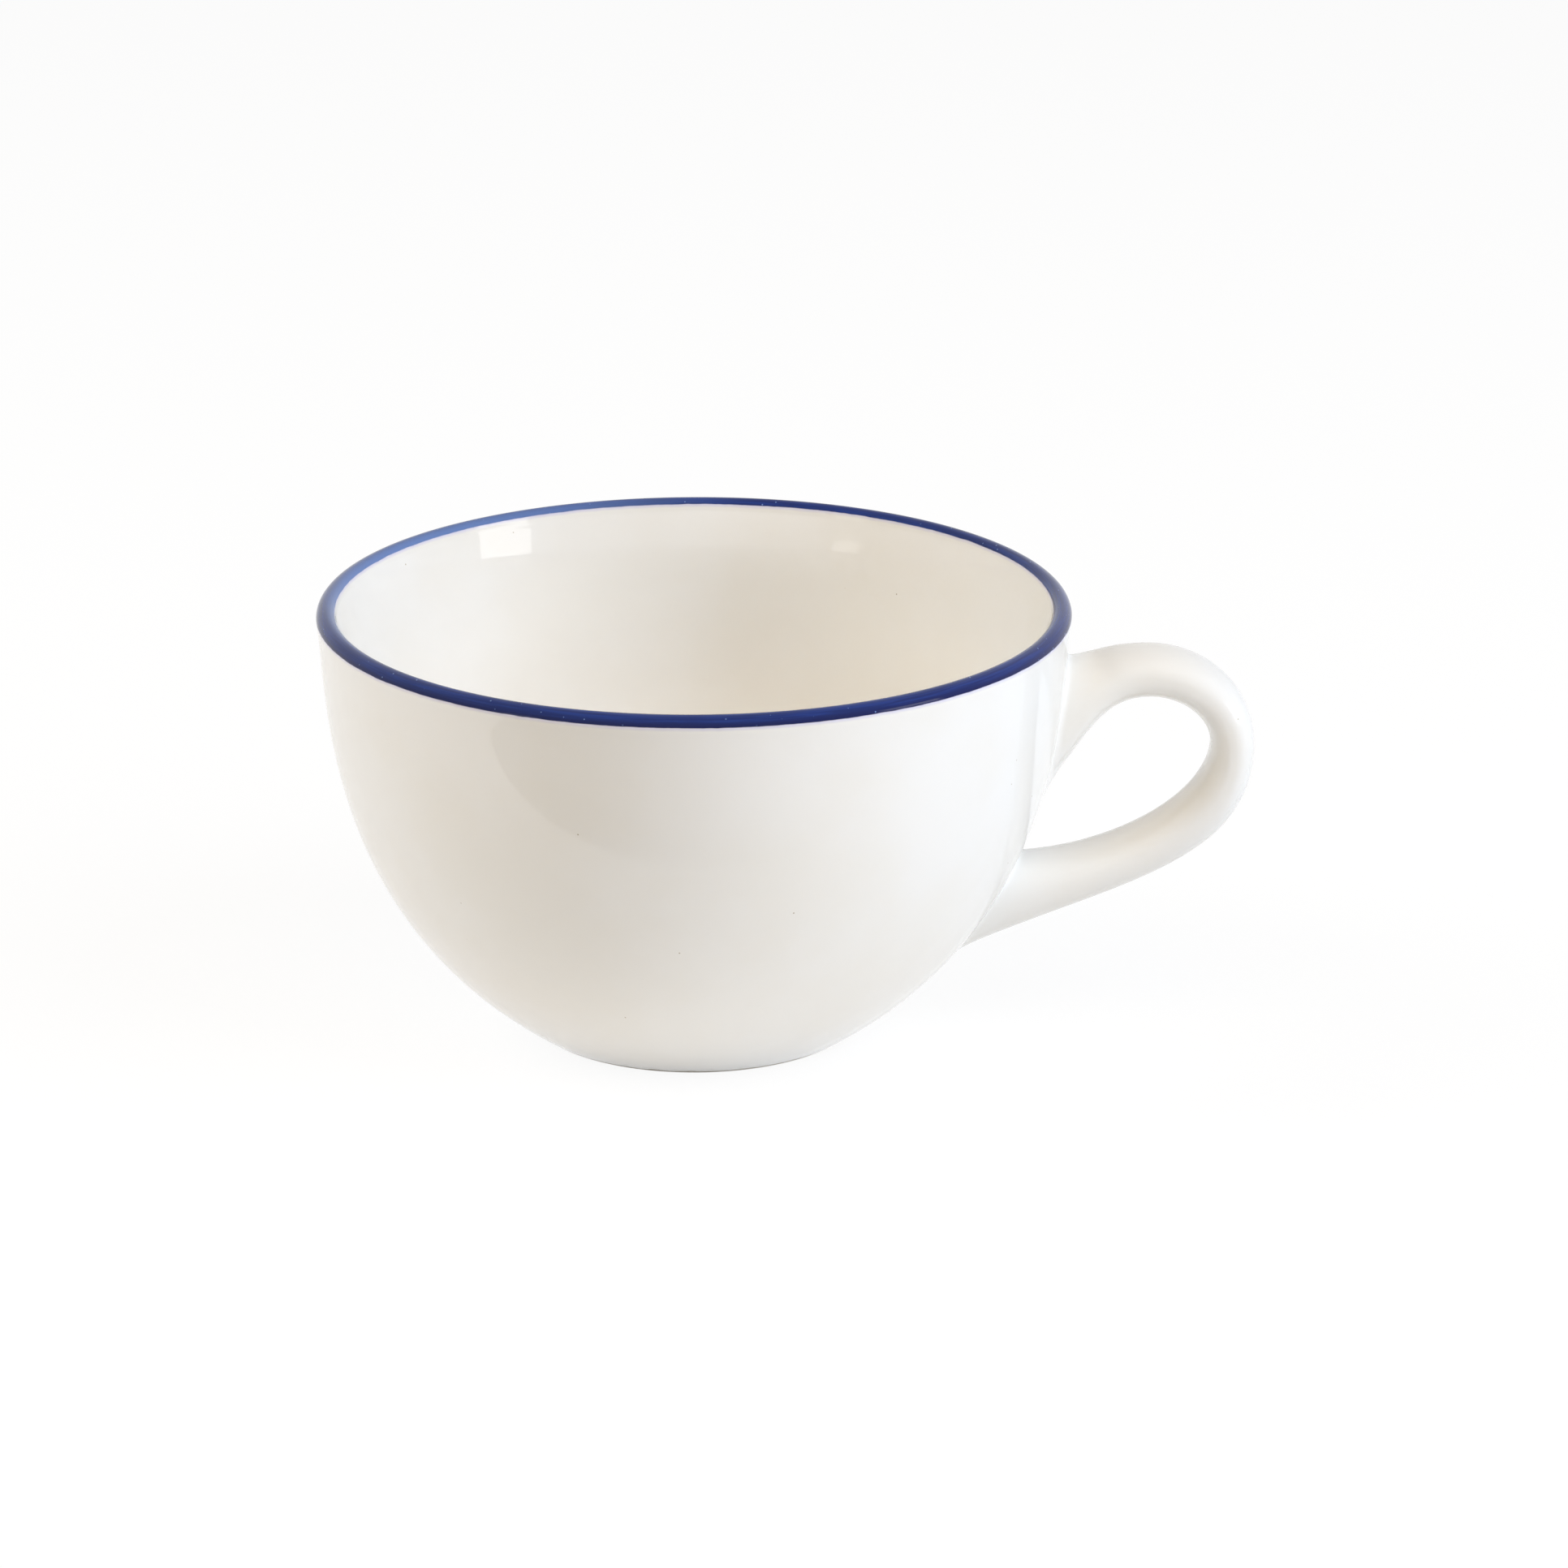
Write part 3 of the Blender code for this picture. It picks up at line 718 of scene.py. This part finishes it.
# Sizes of the patterns, in millimetres. Orange peel, blisters and grit are finer on a real cup, too fine to
# show in a render, so they are drawn as coarse as they need to be.
BRUSH_WAVER, BRUSH_STREAK, TONE_DRIFT, GLAZE_CLOUD, ENAMEL_CLOUD = 2.6, 9.0, 24.0, 14.0, 5.0
PINHOLE_SPACING, PINHOLE = 6.0, 0.16
GLAZE_WAVE, ORANGE_PEEL, BLISTER_SPACING = 11.0, 1.6, 1.1
SPONGE_MARK, BISCUIT_GRIT, BISCUIT_RUB, PAPER_TOOTH = 3.5, 0.35, 5.0, 1.5

# How much shorter the brush streaks are across the band than along it
STREAK_STRETCH = 24.0

# Depths of the reliefs, in metres
WAVE_DEPTH, PEEL_DEPTH, BLISTER_DEPTH, GRIT_DEPTH = 0.000045, 0.0000012, 0.00002, 0.00003

# Runs along the lip, in metres: where the enamel starts to pool and has pooled, above the band's lower edge,
# where the painted light on the inner lip starts, outside the crest, and is full, inside it, and the bleed
# beside the band
POOL_START, POOL_FULL, PAINTED_LIGHT_START, PAINTED_LIGHT_FULL, BLEED_END = 0.0011, 0.0002, 0.0007, 0.0012, 0.0006

# How far the wiped glaze line at the foot wavers, and half the width over which it fades, in metres
WIPE_WAVER, WIPE_FADE = 0.0002, 0.00012

# The values that a noise mostly has, and those over which a finish changes
NOISE_SPAN = (0.3, 0.7)
STREAK_SPAN, DRIFT_SPAN, RUB_SPAN = (0.38, 0.66), (0.35, 0.65), (0.4, 0.7)
# Spans of the painted light on the inner lip, of the painted glints at blister centres, and of the blisters'
# domes
PAINTED_LIGHT_SPAN, GLINT_CELL_SPAN, GLINT_SPOT_SPAN, DOME_SPAN = (0.3, 1.05), (0.55, 0.65), (0.08, 0.13), (0.0, 0.16)

# Roughness of each finish, from its smoothest to its roughest, and other constants of the shaders
GLAZE_ROUGHNESS, ENAMEL_ROUGHNESS, WIPED_ROUGHNESS = (0.02, 0.05), (0.06, 0.14), (0.07, 0.78)
GLAZE_IOR, ENAMEL_SPECULAR, PAPER_ROUGHNESS, TOOTH_SHADE = 1.5, 0.26, 0.9, 0.985

# Painted reflection: how far past its edge the floor's patch that only the glaze mirrors darkens, stays dark
# and is light again, in metres
REFLECTION_DARKENS, REFLECTION_STILL_DARK, REFLECTION_LIGHT_AGAIN = 0.003, 0.07, 0.11

# A Map Range node that eases in and out, and what it maps to where it falls
SOFT = {"interpolation_type": "SMOOTHSTEP"}
FALLING = (1.0, 0.0)

# Sockets of the Mix node when it mixes colours
MIX_FACTOR, MIX_GROUND, MIX_COAT, MIX_RESULT = 0, 6, 7, 2


def new_material(name):
    """A node material, its tree, its shader and the object's own coordinates."""
    material = bpy.data.materials.new(name)
    material.use_nodes = True
    tree = material.node_tree
    return material, tree, tree.nodes["Principled BSDF"], add_node(tree, "ShaderNodeTexCoord", (), "Object")


def pattern(place, millimetres, detail=0.0):
    """Inputs of a texture that repeats about once in so many millimetres."""
    return {"Vector": place, "Scale": 1000.0 / millimetres, "Detail": detail}


def lay_coats(tree, ground, *coats):
    """A ground colour with coats over it, each given as where it lies and its colour."""
    for mask, coat in coats:
        layers = {MIX_FACTOR: mask, MIX_GROUND: ground, MIX_COAT: coat}
        ground = add_node(tree, "ShaderNodeMix", layers, MIX_RESULT, data_type="RGBA")
    return ground


def enamel_colour(tree, place, run, cup):
    """Cobalt blue, streaked along the rim, pooled at its lower edge, and painted paler where the key lamp
    lights the inner lip.
    """
    colours, band = cup.colours, cup.band
    x, y, _ = add_node(tree, "ShaderNodeSeparateXYZ", (place,)).node.outputs
    across = add_node(tree, "ShaderNodeMath", (run, STREAK_STRETCH), operation="MULTIPLY")
    lay = add_node(tree, "ShaderNodeCombineXYZ", (x, y, across))
    streaks = add_node(tree, "ShaderNodeTexNoise", pattern(lay, BRUSH_STREAK, 4.0))
    thin = add_node(tree, "ShaderNodeMapRange", (streaks, *STREAK_SPAN), **SOFT)
    pooling = (run, band.outside - POOL_START, band.outside - POOL_FULL)
    pooled = add_node(tree, "ShaderNodeMapRange", pooling, **SOFT)
    centred = add_node(tree, "ShaderNodeMapping", {"Vector": place, "Location": (-AXIS_X, 0.0, 0.0)})
    # Painted light: the inner lip is painted paler on the side that faces the key lamp, as if lit
    towards = (*polar(band.painted_light_direction, 1.0 / RIM_RADIUS), 0.0)
    round_rim = add_node(tree, "ShaderNodeVectorMath", (centred, towards), "Value", operation="DOT_PRODUCT")
    near = add_node(tree, "ShaderNodeMapRange", (round_rim, *PAINTED_LIGHT_SPAN), **SOFT)
    inside = add_node(tree, "ShaderNodeMapRange", (run, PAINTED_LIGHT_START, -PAINTED_LIGHT_FULL), **SOFT)
    dry = add_node(tree, "ShaderNodeMath", (near, inside), operation="MULTIPLY")
    coats = (thin, colours.enamel_thin), (pooled, colours.enamel_pooled), (dry, colours.enamel_painted_light)
    return lay_coats(tree, colours.enamel, *coats)


def porcelain_colour(tree, place, off, colours):
    """Warm white with a slow drift of tone, sparse pinholes and a lilac bleed beside the band."""
    drift = add_node(tree, "ShaderNodeTexNoise", pattern(place, TONE_DRIFT, 3.0))
    thick = add_node(tree, "ShaderNodeMapRange", (drift, *DRIFT_SPAN), **SOFT)
    specks = add_node(tree, "ShaderNodeTexVoronoi", pattern(place, PINHOLE_SPACING))
    spot = PINHOLE / PINHOLE_SPACING
    hole = add_node(tree, "ShaderNodeMapRange", (specks, spot / 2, spot, *FALLING), **SOFT)
    bleed = add_node(tree, "ShaderNodeMapRange", (off, 0.0, BLEED_END, *FALLING), **SOFT)
    coats = (thick, colours.porcelain_thick), (hole, colours.pinhole), (bleed, colours.bleed)
    return lay_coats(tree, colours.porcelain, *coats)


def banded_colour(tree, place, cup, *flaws):
    """Enamel with its flaws on the lip, and porcelain past the band's brushed edge, which wavers."""
    band = cup.band
    run = add_node(tree, "ShaderNodeAttribute", (), "Fac", attribute_name=RIM_RUN)
    outside = add_node(tree, "ShaderNodeMath", (run, band.outside), operation="SUBTRACT")
    inside = add_node(tree, "ShaderNodeMath", (-band.inside, run), operation="SUBTRACT")
    off = add_node(tree, "ShaderNodeMath", (outside, inside), operation="MAXIMUM")
    brush = add_node(tree, "ShaderNodeTexNoise", pattern(place, BRUSH_WAVER, 2.0))
    waver = add_node(tree, "ShaderNodeMapRange", (brush, *NOISE_SPAN, -band.waver, band.waver))
    off = add_node(tree, "ShaderNodeMath", (off, waver), operation="ADD")
    edge = add_node(tree, "ShaderNodeMapRange", (off, -band.feather, band.feather), **SOFT)
    white = porcelain_colour(tree, place, off, cup.colours)
    return lay_coats(tree, enamel_colour(tree, place, run, cup), *flaws, (edge, white))


def glaze_waver(tree, place):
    """Normals of a fired glaze: long waves where it ran, and a fine orange peel."""
    waves = add_node(tree, "ShaderNodeTexNoise", pattern(place, GLAZE_WAVE, 1.0))
    peel = add_node(tree, "ShaderNodeTexNoise", pattern(place, ORANGE_PEEL, 2.0))
    ran = add_node(tree, "ShaderNodeBump", {"Height": waves, "Distance": WAVE_DEPTH})
    return add_node(tree, "ShaderNodeBump", {"Height": peel, "Distance": PEEL_DEPTH, "Normal": ran})


def glazed_porcelain(cup):
    """Porcelain under a clear glaze, fired glossy.

    It gives the eye a warm white with crisp, slightly wavering reflections and a few pinholes.
    """
    name = "clear_glazed_porcelain"
    if name in bpy.data.materials:
        return bpy.data.materials[name]
    material, tree, shader, place = new_material(name)
    cloud = add_node(tree, "ShaderNodeTexNoise", pattern(place, GLAZE_CLOUD, 3.0))
    feed(tree, shader, {
        "Base Color": banded_colour(tree, place, cup),
        "Roughness": add_node(tree, "ShaderNodeMapRange", (cloud, *NOISE_SPAN, *GLAZE_ROUGHNESS), **SOFT),
        "Normal": glaze_waver(tree, place),
        "IOR": GLAZE_IOR,
    })
    return material


def blue_enamel(cup):
    """Cobalt enamel brushed on while the lip turned, and fired under a clear glaze.

    It gives the eye a deep blue with faint streaks along the rim, a dark lower edge, painted glints as a few
    pale specks on blisters, and a hard gloss.
    """
    material, tree, shader, place = new_material("brushed_cobalt_enamel")
    blisters = add_node(tree, "ShaderNodeTexVoronoi", pattern(place, BLISTER_SPACING)).node.outputs
    # Painted glints: pale specks at the centres of a few blisters stand in for highlights on them
    glinting_cells = add_node(tree, "ShaderNodeMapRange", (blisters["Color"], *GLINT_CELL_SPAN), **SOFT)
    glint_spots = add_node(tree, "ShaderNodeMapRange", (blisters["Distance"], *GLINT_SPOT_SPAN, *FALLING), **SOFT)
    specks = add_node(tree, "ShaderNodeMath", (glinting_cells, glint_spots), operation="MULTIPLY")
    domes = add_node(tree, "ShaderNodeMapRange", (blisters["Distance"], *DOME_SPAN, *FALLING), **SOFT)
    relief = {"Height": domes, "Distance": BLISTER_DEPTH, "Normal": glaze_waver(tree, place)}
    cloud = add_node(tree, "ShaderNodeTexNoise", pattern(place, ENAMEL_CLOUD, 3.0))
    feed(tree, shader, {
        "Base Color": banded_colour(tree, place, cup, (specks, cup.colours.enamel_painted_light)),
        "Roughness": add_node(tree, "ShaderNodeMapRange", (cloud, *NOISE_SPAN, *ENAMEL_ROUGHNESS), **SOFT),
        "Normal": add_node(tree, "ShaderNodeBump", relief),
        "Specular IOR Level": ENAMEL_SPECULAR,
    })
    return material


def bare_biscuit(cup):
    """Porcelain wiped free of glaze where the cup stands, and rubbed by tables.

    It gives the eye a matt, gritty ring with a wavering glaze line above it.
    """
    colours = cup.colours
    material, tree, shader, place = new_material("wiped_biscuit_porcelain")
    height = add_node(tree, "ShaderNodeSeparateXYZ", (place,), "Z")
    sponge = add_node(tree, "ShaderNodeTexNoise", pattern(place, SPONGE_MARK, 2.0))
    waver = add_node(tree, "ShaderNodeMapRange", (sponge, *NOISE_SPAN, -WIPE_WAVER, WIPE_WAVER))
    height = add_node(tree, "ShaderNodeMath", (height, waver), operation="ADD")
    line = cup.foot.glaze_line
    glazed = add_node(tree, "ShaderNodeMapRange", (height, line - WIPE_FADE, line + WIPE_FADE), **SOFT)
    bare = add_node(tree, "ShaderNodeMapRange", (glazed, 0.0, 1.0, *FALLING), **SOFT)
    grit = add_node(tree, "ShaderNodeTexNoise", pattern(place, BISCUIT_GRIT, 3.0))
    rubbed = add_node(tree, "ShaderNodeTexNoise", pattern(place, BISCUIT_RUB, 3.0))
    worn = add_node(tree, "ShaderNodeMapRange", (rubbed, *RUB_SPAN), **SOFT)
    relief = {"Height": grit, "Distance": GRIT_DEPTH, "Strength": bare}
    coats = (worn, colours.biscuit_worn), (glazed, colours.porcelain)
    feed(tree, shader, {
        "Base Color": lay_coats(tree, colours.biscuit, *coats),
        "Roughness": add_node(tree, "ShaderNodeMapRange", (bare, 0.0, 1.0, *WIPED_ROUGHNESS)),
        "Normal": add_node(tree, "ShaderNodeBump", relief),
        "IOR": GLAZE_IOR,
    })
    return material


def seen_directly(tree):
    """1 for rays that show a background: from the camera, or from it through gloss or glass."""
    rays = add_node(tree, "ShaderNodeLightPath").node.outputs
    shown = rays["Is Camera Ray"]
    for kind in ("Is Glossy Ray", "Is Transmission Ray"):
        shown = add_node(tree, "ShaderNodeMath", (shown, rays[kind]), operation="MAXIMUM")
    return shown


def painted_dark_reflection(tree, place, studio):
    """Painted reflection: 1 where the floor is dark to the glaze's reflections only, past a line in front of
    the cup, fading on the handle's side.
    """
    x, y, _ = add_node(tree, "ShaderNodeSeparateXYZ", (place,)).node.outputs
    dark = add_node(tree, "ShaderNodeLightPath", (), "Is Glossy Ray")
    edge = -studio.dark_reflection_edge
    for span in (
        (y, edge, edge - REFLECTION_DARKENS),
        (y, edge - REFLECTION_LIGHT_AGAIN, edge - REFLECTION_STILL_DARK),
        (x, studio.dark_reflection_end, studio.dark_reflection_darkest),
    ):
        part = add_node(tree, "ShaderNodeMapRange", span, **SOFT)
        dark = add_node(tree, "ShaderNodeMath", (dark, part), operation="MULTIPLY")
    return dark


def pale_paper(studio):
    """Seamless paper, matt and with a faint tooth.

    It gives the eye an even white ground with a faint shadow, and throws a little light up at the cup.
    """
    material, tree, shader, place = new_material("seamless_paper")
    tooth = add_node(tree, "ShaderNodeTexNoise", pattern(place, PAPER_TOOTH, 2.0))
    seen = seen_directly(tree)
    coats = (tooth, studio.floor * TOOTH_SHADE), (seen, studio.floor * studio.floor_shade)
    glow = (seen, studio.floor_glow - studio.floor_bounce, studio.floor_bounce)
    glow = add_node(tree, "ShaderNodeMath", glow, operation="MULTIPLY_ADD")
    # Painted reflection: the floor stops glowing for the glaze's reflections past a line in front of the cup
    dark = painted_dark_reflection(tree, place, studio)
    lit = add_node(tree, "ShaderNodeMath", (1.0, dark), operation="SUBTRACT")
    feed(tree, shader, {
        "Base Color": lay_coats(tree, studio.floor, *coats),
        "Roughness": PAPER_ROUGHNESS,
        "Specular IOR Level": 0.0,
        "Emission Color": WHITE,
        "Emission Strength": add_node(tree, "ShaderNodeMath", (glow, lit), operation="MULTIPLY"),
    })
    return material


# Studio


def add_lamp(name, azimuth, elevation, distance, width, height, mirrored, power, rgb):
    """A rectangular lamp that faces the cup."""
    aim = Vector((AXIS_X, 0.0, CUP_HEIGHT / 2))
    azimuth, elevation = math.radians(azimuth), math.radians(elevation)
    towards = Vector((*polar(azimuth, math.cos(elevation)), math.sin(elevation)))
    lamp = bpy.data.lights.new(name, "AREA")
    lamp.shape = "RECTANGLE"
    lamp.size, lamp.size_y = width, height
    lamp.energy, lamp.color = power, rgb
    holder = put(name, lamp)
    holder.location = aim + towards * distance
    holder.rotation_mode = "QUATERNION"
    holder.rotation_quaternion = towards.to_track_quat("Z", "Y")
    holder.visible_glossy = mirrored


def light_room(studio):
    """Even room light, with a white background where it is seen directly."""
    world = bpy.data.worlds.new("studio")
    world.use_nodes = True
    tree = world.node_tree
    room = tree.nodes["Background"]
    feed(tree, room, (studio.room,))
    white = add_node(tree, "ShaderNodeBackground", (WHITE,))
    shown = add_node(tree, "ShaderNodeMixShader", (seen_directly(tree), room.outputs[0], white))
    feed(tree, tree.nodes["World Output"], {"Surface": shown})
    bpy.context.scene.world = world


def add_floor(studio, radius=4.0):
    shape = bmesh.new()
    bmesh.ops.create_circle(shape, cap_ends=True, segments=96, radius=radius)
    mesh = bpy.data.meshes.new("floor")
    shape.to_mesh(mesh)
    shape.free()
    mesh.materials.append(pale_paper(studio))
    floor = put("floor", mesh)


def add_camera(studio):
    camera = bpy.data.cameras.new("camera")
    camera.sensor_width = 36.0
    camera.lens = studio.lens
    camera.clip_start, camera.clip_end = 0.01, 50.0
    holder = put("camera", camera)
    holder.location = (AXIS_X + studio.camera_right, -studio.camera_out, studio.camera_height)
    holder.rotation_euler = (math.pi / 2 - studio.pitch, 0.0, 0.0)
    bpy.context.scene.camera = holder


# Operators


class CUP_OT_stage(Operator):
    """Set the pale floor, the soft lamps, the room light and the camera"""

    bl_idname = "coffee_cup.stage"
    bl_label = "Set Stage"

    def execute(self, context):
        studio = context.scene.coffee_cup.studio
        add_camera(studio)
        add_floor(studio)
        light_room(studio)
        for name, place in LAMPS.items():
            add_lamp(name, *place, getattr(studio, name + "_power"), getattr(studio, name, WHITE))
        context.scene.view_settings.view_transform = "Standard"
        return {"FINISHED"}


class CUP_OT_bowl(Operator):
    """Turn the glazed bowl with its floor, wall and lip"""

    bl_idname = "coffee_cup.bowl"
    bl_label = "Turn Bowl"

    def execute(self, context):
        cup = context.scene.coffee_cup
        piece = turn("glazed_bowl", *bowl_profile(Outline(cup)), cup.bowl.segments, glazed_porcelain(cup))
        dress(piece, "bowl")
        return {"FINISHED"}


class CUP_OT_foot(Operator):
    """Turn the foot ring with its bare bearing face"""

    bl_idname = "coffee_cup.foot"
    bl_label = "Turn Foot Ring"

    def execute(self, context):
        cup = context.scene.coffee_cup
        piece = turn("bare_foot_ring", *foot_profile(Outline(cup)), cup.bowl.segments, bare_biscuit(cup))
        dress(piece, "foot_ring")
        return {"FINISHED"}


class CUP_OT_band(Operator):
    """Lay the blue enamel band over the lip"""

    bl_idname = "coffee_cup.band"
    bl_label = "Lay Rim Band"

    def execute(self, context):
        cup = context.scene.coffee_cup
        piece = turn("enamel_rim_band", *band_profile(Outline(cup)), cup.bowl.segments, blue_enamel(cup))
        dress(piece, "rim_band")
        return {"FINISHED"}


class CUP_OT_handle(Operator):
    """Stick the strap handle to the wall with a slip fillet at each root"""

    bl_idname = "coffee_cup.handle"
    bl_label = "Stick Handle"

    def execute(self, context):
        cup = context.scene.coffee_cup
        outline = Outline(cup)
        skin, upper, lower = handle_skin(outline, cup.handle)
        normals = skin_normals(outline, skin)
        for name, node, rings in (
            ("upper_slip_fillet", "upper_slip_joint", slice(0, upper + 1)),
            ("strap_handle", "handle", slice(upper, lower + 1)),
            ("lower_slip_fillet", "lower_slip_joint", slice(lower, len(skin))),
        ):
            piece = loft(name, skin[rings], normals[rings], glazed_porcelain(cup))
            dress(piece, node)
        return {"FINISHED"}


class CUP_PT_sidebar(Panel):
    """Lists the steps that make the cup, and its settings"""

    bl_idname = "CUP_PT_sidebar"
    bl_label = "Coffee Cup"
    bl_space_type = "VIEW_3D"
    bl_region_type = "UI"
    bl_category = "Coffee Cup"

    def draw(self, context):
        for operator in OPERATORS:
            self.layout.operator(operator.bl_idname)
        cup = context.scene.coffee_cup
        for group in (cup.bowl, cup.foot, cup.band, cup.handle, cup.colours, cup.studio):
            box = self.layout.box()
            for name in group.__annotations__:
                box.prop(group, name)


GROUPS = (BowlSizes, FootSizes, BandSizes, HandleSizes, GlazeColours, StudioSettings, CoffeeCup)
OPERATORS = (CUP_OT_stage, CUP_OT_bowl, CUP_OT_foot, CUP_OT_band, CUP_OT_handle)
CLASSES = (*GROUPS, *OPERATORS, CUP_PT_sidebar)


def register():
    for cls in CLASSES:
        bpy.utils.register_class(cls)
    bpy.types.Scene.coffee_cup = PointerProperty(type=CoffeeCup)


def unregister():
    del bpy.types.Scene.coffee_cup
    for cls in reversed(CLASSES):
        bpy.utils.unregister_class(cls)


def main():
    register()
    bpy.ops.coffee_cup.stage()
    bpy.ops.coffee_cup.bowl()
    bpy.ops.coffee_cup.foot()
    bpy.ops.coffee_cup.band()
    bpy.ops.coffee_cup.handle()


if __name__ == "__main__":
    main()
